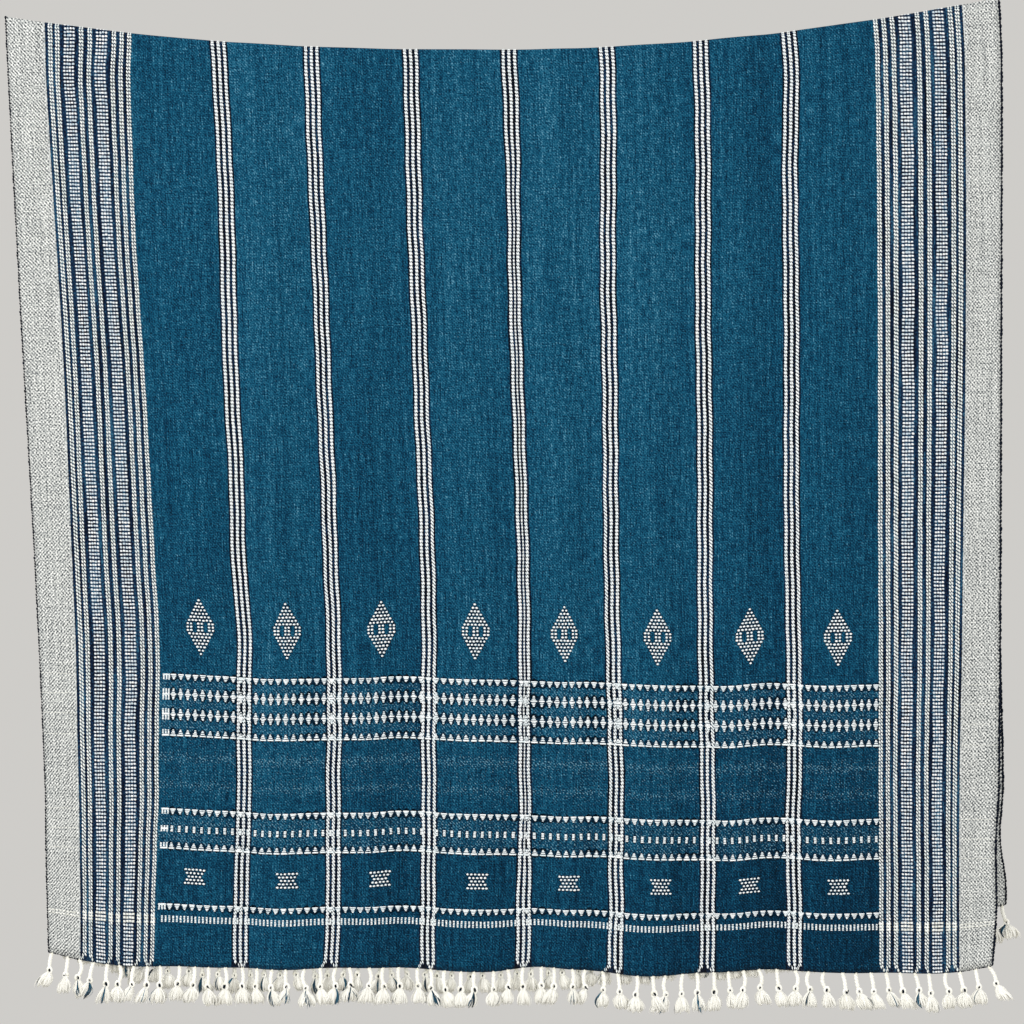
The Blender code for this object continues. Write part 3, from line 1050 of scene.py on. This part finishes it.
cream_pick = ivory_yarn("cream wool pick", "#E0E1DA", "#FBFBF6", "#CDCFC8")
field_columns = np.array([pick for row in ROWS for pick in row_picks(row)]).T
border_columns = np.array(border_picks()).T
for layer in LAYERS:
    woven_floats("figure_rows", layer, laid(*field_columns, PICK_UNEVEN), ivory_float, shape=WEFT_FLOAT)
    woven_floats("border_row", layer, laid(*border_columns, PICK_UNEVEN), cream_pick, shape=WEFT_FLOAT)

# Diamonds and hourglasses
# Small ivory dots, each one float of extra weft, that make a diamond in the middle of every
# panel and an hourglass below it.

DOT_WIDE = 3.3
DOT_TALL = 2.4
DOT_HEIGHT = 0.6
DOT_UNEVEN = Uneven(0.1, 0.1, (0.8, 1.12), (0.9, 1.08), (0, 0.2))
Dotted = namedtuple("Dotted", "up pitch rise rows missing")
DIAMOND = Dotted(348.5, 3.8, 3.44, (1, 2, 3, 4, 5, 6, 7, 8, 8, 8, 7, 6, 5, 4, 3, 2, 1), (2, 5))
HOURGLASS = Dotted(92.5, 4.0, 3.5, (6, 5, 4, 5, 6), ())

# The weaver set them a little off the middle of each panel
OFF_MIDDLE = table(
    "diamond hourglass",
    (4.5, 1.0), (-1.9, -0.2), (0.5, -0.5), (-1.4, 0.8), (-4.3, -1.0), (-1.8, -1.9), (0.5, -1.8),
    (-3.7, -3.6),
)


def round_dot():
    solid = bmesh.new()
    bmesh.ops.create_icosphere(solid, subdivisions=1, radius=0.5)
    return shape_of(solid, 1)


DOT = round_dot()


def dots_of(figure, middle):
    """Where one figure's dots are. Its widest rows have some missing."""
    dots = []
    for row, count in enumerate(figure.rows):
        up = figure.up + (row - (len(figure.rows) - 1) / 2) * figure.rise
        for place in range(count):
            if count < max(figure.rows) or place not in figure.missing:
                dots.append((middle + (place - (count - 1) / 2) * figure.pitch, up))
    return dots


def dotted_figures():
    dots = []
    for (left, right), off in zip(PANELS, OFF_MIDDLE):
        middle = (left + right) / 2
        dots += dots_of(DIAMOND, middle + off.diamond) + dots_of(HOURGLASS, middle + off.hourglass)
    return laid(*np.array(dots).T, DOT_WIDE, DOT_TALL, DOT_UNEVEN)


for layer in LAYERS:
    woven_floats("dots", layer, dotted_figures(), ivory_float, DOT_HEIGHT, DOT)

# Painted shadows round the figures
# Low navy floats behind each figure and each dot, a little larger than it, are painted shadow
# that shows dark round them.

SHADOW_HEIGHT = 0.2
SHADOW_BEYOND = (2.3, 2.4)
ShadowPatch = namedtuple("ShadowPatch", "up wide tall")
FIGURE_SHADOWS = {
    "point_down": ShadowPatch(-1.9, 10.8, 11.6),
    "point_up": ShadowPatch(2.2, 10.8, 12.0),
    "spindle": ShadowPatch(0, 10.6, 17.6),
    "dash": ShadowPatch(0, 6.4, 11.4),
}


# A patch of painted shadow behind each figure of a row, and behind each dot
def painted_figure_shadows():
    shadows = []
    for row in ROWS:
        if row.figure in FIGURE_SHADOWS:
            shadow = FIGURE_SHADOWS[row.figure]
            for number in range(FIGURE_COUNT):
                across = FIRST_FIGURE + number * FIGURE_PITCH
                shadows.append((across, row.up + shadow.up, shadow.wide, shadow.tall, 0))
    dots = dotted_figures()
    for across, up in zip(dots.across, dots.up):
        shadows.append((across, up, DOT_WIDE + SHADOW_BEYOND[0], DOT_TALL + SHADOW_BEYOND[1], 0))
    return Yarns(*np.array(shadows).T)


# Dark wool: for the overcast thread, the dark eye in each knot, and the painted shadow round the figures
def dark_yarn_and_shade(name, dark, light):
    material, tree = wool(name, roughness=0.95, sheen=0.0)
    grains = fibres(tree, 0.9)
    return coloured(material, ramp(tree, grains, ((0.35, dark), (0.7, light))), grains, 0.3)


# Near-black navy, painted as the shadow round the figures
shadow_wool = dark_yarn_and_shade("painted shadow below the figures", "#031628", "#0F3650")
for layer in LAYERS:
    woven_floats("painted_figure_shadows", layer, painted_figure_shadows(), shadow_wool, SHADOW_HEIGHT, BEAD)

# Selvedge overcast
# A near-black wool thread laid over both selvedges in close stitches, which shows as a thin
# beaded edge, and in smaller stitches along the hem of the grey bands.

STITCH_THROUGH = 3.0
Edge = namedtuple("Edge", "across out pitch wide tall")
SELVEDGES = (Edge(0.0, -1, 2.9, 2.1, 3.2), Edge(WIDTH, 1, 4.0, 3.3, 5.4))
STITCH_OUT = 0.5
STITCH_LEAN = 0.7
STITCH_UNEVEN = 0.15
HEM_PITCH = 2.3
HEM_STITCH = (2.9, 1.5)
overcast_wool = dark_yarn_and_shade("navy overcast wool", "#03050B", "#161E2E")


def overcast(layer):
    x, y, z = DOT.points.T
    through = -CLOTH / 2 + z * STITCH_THROUGH
    stitches = []
    for edge in SELVEDGES:
        up = np.arange(edge.pitch / 2, cloth_end(layer, edge.across) - edge.pitch, edge.pitch)[:, None]
        size = chance.uniform(0.75, 1.2, up.shape)
        middle = edge.across + edge.out * STITCH_OUT + chance.normal(0, STITCH_UNEVEN, up.shape)
        along = up + y * edge.tall * size + x * edge.out * STITCH_LEAN
        stitches.append((middle + x * edge.wide * size, along))
    for start, end in ((0, BAND), (WIDTH - BAND, WIDTH)):
        place = np.arange(start, end, HEM_PITCH)[:, None]
        size = chance.uniform(0.6, 1.2, place.shape)
        stitches.append((place + x * HEM_STITCH[0] * size, y * HEM_STITCH[1] * size))
    flats = [spots(across, up, through) for across, up in stitches]
    points = np.concatenate([hang(layer, flat).reshape(flat.shape) for flat in flats])
    name = layer.name + "_overcast"
    mesh = joined(name, DOT, points, chance.uniform(0, 1, len(points)), [overcast_wool])
    put_in_scene(name, mesh, pieces_of[layer.name])


for layer in LAYERS:
    overcast(layer)

# Fringes
# The warp ends below each hem are twisted in two plies into 62 ivory cords. Each is knotted,
# with a dark eye in the knot's middle, and its loose end is brushed out to a soft tuft.

PLY_RADIUS = 1.5
TWIST_RADIUS = 0.8
TWIST_PITCH = 6.5
ROOT_UP = 0.1
CORD_LENGTH = 17.0
CORD_RINGS = 15
KNOT_AT = 18.5
KNOT_HALF = (2.2, 1.0, 3.1)
KNOT_YARN = 1.4
KNOT_TURNS = 1.35
KNOT_WEAVE = 0.6
KNOT_RINGS = 18
EYE = (3.0, 2.4, 5.2)
EYE_OUT = 1.0
EYE_LEAN = 0.35
EYE_BESIDE = (0.2, 0.6)
TUFT_START = 21.0
TUFT_END = 37.5
TUFT_HALF = 7.6
TUFT_FLAT = 0.62
CORE_RISE = 0.5
CORE_LONG = 0.9
CORE_WIDE = 0.9
LOCKS = 34
FLYAWAYS = 20
LOCK_RADIUS = 1.15
FLYAWAY_RADIUS = 0.26

# A tuft's half width from its knot to its end, as shares: its core, and the locks over it.
# Some tufts close again below their middle, and others stay open like a bell.
CORE_SWELL = np.array((0.25, 0.5, 0.74, 0.9, 0.99, 1.0, 0.93, 0.74, 0.3))
CLOSED = np.array((0.15, 0.55, 0.88, 1.0, 0.95, 0.66))
BELL = np.array((0.15, 0.45, 0.72, 0.9, 1.05, 1.12))
LOCK_TAPER = np.array((1.0, 1.15, 1.2, 1.15, 0.95, 0.3))

# How far the cords hang aside at their ends, by their share of the width
LEANS = table(
    "share aside",
    (0, -10), (0.02, -5), (0.05, -3), (0.1, -3.5), (0.2, -1), (0.3, 1), (0.7, 1), (0.8, 5.5),
    (0.9, 6), (0.96, 9), (1, 14),
)
SWAY = 2.2
LEAN_POWER = 1.2
BOW = 1.3
TILT = 0.2
LENGTH_UNEVEN = 0.045
AWAY = {"front": -1.5, "back": 6.0}
CORNER_TUFT = {"front": 0.9, "back": 1.45}


def tube(sides, rings):
    """An upright tube of the given rings: z runs from 0 at its start to 1 at its end."""
    solid = bmesh.new()
    bmesh.ops.create_cone(solid, cap_ends=True, segments=sides, radius1=1, radius2=1, depth=1)
    bmesh.ops.translate(solid, verts=solid.verts, vec=(0, 0, 0.5))
    for ring in range(1, rings - 1):
        cut = solid.verts[:] + solid.edges[:] + solid.faces[:]
        bmesh.ops.bisect_plane(solid, geom=cut, plane_co=(0, 0, ring / (rings - 1)), plane_no=(0, 0, 1))
    return shape_of(solid, 2, start=0)


def swept(shape, path, radius):
    """Sweeps a tube along paths: path[copy, ring] in millimetres, radius[copy, ring]."""
    radius = np.broadcast_to(radius, path.shape[:2])
    ring = np.rint(shape.points[:, 2] * (path.shape[1] - 1)).astype(int)
    tangent = np.gradient(path, axis=1)
    tangent /= np.linalg.norm(tangent, axis=2, keepdims=True)
    side = np.cross(tangent, (0, 1, 0))
    side /= np.linalg.norm(side, axis=2, keepdims=True)
    front = np.cross(tangent, side)
    x, y = shape.points[:, 0, None], shape.points[:, 1, None]
    offset = side[:, ring] * x + front[:, ring] * y
    return path[:, ring] + offset * radius[:, ring, None]


PLY = tube(5, CORD_RINGS)
KNOT_LOOP = tube(5, KNOT_RINGS)
LOCK = tube(3, len(LOCK_TAPER))
CORE = tube(7, len(CORE_SWELL))


def cord_line(layer, seed):
    """Gives a function that places points at distances down each cord."""
    random = np.random.RandomState(seed)
    root = hang(layer, spots(cord_roots, ROOT_UP, -CLOTH / 2))[:, :, None]
    aside = curve_through(LEANS, cord_roots / WIDTH) + random.normal(0, SWAY, CORD_COUNT)
    bow = random.normal(0, BOW, CORD_COUNT)
    drop = 1 + random.normal(0, LENGTH_UNEVEN, CORD_COUNT)
    tilt = random.normal(0, TILT, CORD_COUNT)

    def place(down):
        """down is [cord, point], in millimetres below the root."""
        part = np.clip(down / TUFT_END, 0, 1)
        bend = np.sin(np.clip(down / KNOT_AT, 0, 1) * math.pi)
        x = root[:, 0] + aside[:, None] * part**LEAN_POWER + bow[:, None] * bend
        x += tilt[:, None] * np.clip(down - KNOT_AT, 0, None)
        y = root[:, 1] + AWAY[layer.name] * part
        z = root[:, 2] - down * drop[:, None]
        return spots(x, y, z)

    return place


def fringe(layer, seed, finishes):
    random = np.random.RandomState(seed)
    place = cord_line(layer, seed)
    plain = np.ones((CORD_COUNT, 1))
    whole_turn = 2 * math.pi
    parts = []

    def each(low, high):
        """One random value for each cord."""
        return random.uniform(low, high, (CORD_COUNT, 1))

    down = plain * np.linspace(0, CORD_LENGTH, CORD_RINGS)
    start = each(0, whole_turn)
    for ply in (0, math.pi):
        turn = down / TWIST_PITCH * whole_turn + start + ply
        path = place(down) + TWIST_RADIUS * spots(np.cos(turn), np.sin(turn), 0)
        parts.append((PLY, swept(PLY, path, PLY_RADIUS), each(0.3, 0.9), 0))

    # The knot is a loop that stands open to the front, with a dark eye in its middle
    turn = np.linspace(0, whole_turn * KNOT_TURNS, KNOT_RINGS) + each(0, whole_turn)
    size = each(0.8, 1.12)
    loop = spots(np.cos(turn) * size, np.sin(turn * KNOT_WEAVE), np.sin(turn) * size) * KNOT_HALF
    path = place(KNOT_AT * plain) + loop
    parts.append((KNOT_LOOP, swept(KNOT_LOOP, path, KNOT_YARN), each(0.4, 0.9), 0))

    x, y, z = DOT.points.T * np.array(EYE)[:, None]
    lean = random.normal(0, EYE_LEAN, (CORD_COUNT, 1))
    size = each(0.45, 1.1)
    beside = random.normal(*EYE_BESIDE, (CORD_COUNT, 1))
    eye = place(KNOT_AT * plain) + spots(beside, layer.side * EYE_OUT, 0)
    eye_points = eye + spots(x * size + z * lean, y, z * size)
    parts.append((DOT, eye_points, plain * 0.5, 1))

    # A soft round core, and locks of wool laid over it
    tuft = TUFT_END - TUFT_START
    t = np.linspace(0, CORE_LONG, len(CORE_SWELL))
    down = plain * (TUFT_START - CORE_RISE + tuft * t)
    wide = each(0.7, 1.0) * TUFT_HALF
    wide[-1] = CORNER_TUFT[layer.name] * TUFT_HALF
    core = swept(CORE, place(down), wide * CORE_SWELL * CORE_WIDE)
    middle = place(down).mean(1)[:, None, 1]
    core[:, :, 1] = middle + (core[:, :, 1] - middle) * TUFT_FLAT
    parts.append((CORE, core, each(0.55, 0.85), 2))

    flare = CLOSED + (BELL - CLOSED) * each(0, 1) ** 2
    dark_side = each(0, whole_turn)
    dark_half = each(-0.1, 0.36)
    t = np.linspace(0, 1, len(LOCK_TAPER))
    for lock in range(LOCKS + FLYAWAYS):
        loose = lock >= LOCKS
        angle = each(0, whole_turn)
        spread = wide * each(0.85, 1.45 if loose else 1.14) * flare
        down = TUFT_START + tuft * t * each(0.82, 1.08 if loose else 1.0)
        twist = angle + random.normal(0, 0.5 if loose else 0.25, (CORD_COUNT, 1)) * t
        aside = spots(spread * np.cos(twist), TUFT_FLAT * spread * np.sin(twist), 0)
        radius = LOCK_TAPER * each(0.85, 1.15) * (FLYAWAY_RADIUS if loose else LOCK_RADIUS)
        tone = each(0.3, 1.0)
        dark = np.abs(angle - dark_side) < dark_half
        tone[dark] = random.uniform(0.0, 0.08, dark.sum())
        parts.append((LOCK, swept(LOCK, place(down) + aside, radius), tone, 2))

    name = layer.name + "_fringe_cords"
    whole = bmesh.new()
    for shape, points, tone, finish in parts:
        mesh = joined(name, shape, points, tone, finishes, finish)
        whole.from_mesh(mesh)
        bpy.data.meshes.remove(mesh)
    result = bpy.data.meshes.new(name)
    whole.to_mesh(result)
    whole.free()
    for material in finishes:
        result.materials.append(material)
    draw_by(result, "thread")
    piece = put_in_scene(name, result, pieces_of[layer.name])
    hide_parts(layer.name + "_fringe")


def brushed_wool():
    """Loose ivory wool at the cords' ends, with here and there a dark blue wisp."""
    material, tree = wool("brushed ivory wool", roughness=0.95, sheen=0.45)
    tone = uv_place(tree, "thread")[1]
    stops = ((0.0, "#0A1826"), (1.0, "#FFFEF8"), (0.05, "#1D4A60"), (0.09, "#3A6A80"), (0.1, "#E4E2D8"))
    return coloured(material, ramp(tree, tone, stops), fibres(tree, 0.6, 3.0), 0.4)


cord_finishes = (
    ivory_yarn("ivory wool cord", "#EEEDE4", "#FEFDF7", "#F1F0E9"),
    dark_yarn_and_shade("dark knot eye", "#05080F", "#16222F"),
    brushed_wool(),
)
fringe(FRONT, 11, cord_finishes)
fringe(BACK, 23, cord_finishes)

# Stage, light and camera
# A pale floor below the hanging shawl, soft light from the front and a little from the left,
# and a long lens square on to the cloth.

FLOOR_DROP = -1.2
FLOOR_HALF = (1.9, 1.05)
floor_mesh = bmesh.new()
bmesh.ops.create_grid(floor_mesh, x_segments=1, y_segments=1, size=1)
bmesh.ops.scale(floor_mesh, verts=floor_mesh.verts, vec=(*FLOOR_HALF, 1))
bmesh.ops.translate(floor_mesh, verts=floor_mesh.verts, vec=(0, 0, FLOOR_DROP))
floor_data = bpy.data.meshes.new("floor")
floor_mesh.to_mesh(floor_data)
floor_mesh.free()
floor_finish = bpy.data.materials.new("pale studio floor")
floor_finish.use_nodes = True
floor_shader = floor_finish.node_tree.nodes["Principled BSDF"]
floor_shader.inputs["Base Color"].default_value = linear("#DAD8D3")
floor_shader.inputs["Roughness"].default_value = 0.8
floor_data.materials.append(floor_finish)
floor = linked("floor", floor_data)

world = bpy.data.worlds.new("studio")
world.use_nodes = True
world.node_tree.nodes["Background"].inputs["Color"].default_value = linear("#E4E2DE")
world.node_tree.nodes["Background"].inputs["Strength"].default_value = 0.8
bpy.context.scene.world = world
bpy.context.scene.view_settings.view_transform = "Standard"

TARGET = (0.0, 0.0, -0.47)


def soft_light(name, place, size, power):
    data = bpy.data.lights.new(name, "AREA")
    data.shape = "RECTANGLE"
    data.size, data.size_y = size
    data.energy = power
    light = linked(name, data)
    light.location = place
    aim = np.array(TARGET) - np.array(place)
    tilt = math.atan2(math.hypot(aim[0], aim[1]), -aim[2])
    light.rotation_euler = (tilt, 0, math.atan2(aim[1], aim[0]) - math.pi / 2)


soft_light("key", (-2.4, -2.6, 1.0), (1.6, 1.6), 84)
soft_light("fill", (2.0, -2.9, 0.4), (2.0, 1.6), 46)
soft_light("back_fill", (1.2, 2.8, 0.8), (2.0, 1.6), 60)

CAMERA_PLACE = (0.0072, -3.2, -0.4735)
FRAME_WIDTH = 1.0517
SENSOR = 36
camera_data = bpy.data.cameras.new("camera")
camera_data.sensor_width = SENSOR
camera_data.lens = SENSOR * -CAMERA_PLACE[1] / FRAME_WIDTH
camera = linked("camera", camera_data)
camera.location = CAMERA_PLACE
camera.rotation_euler = (math.pi / 2, 0, 0)
bpy.context.scene.camera = camera
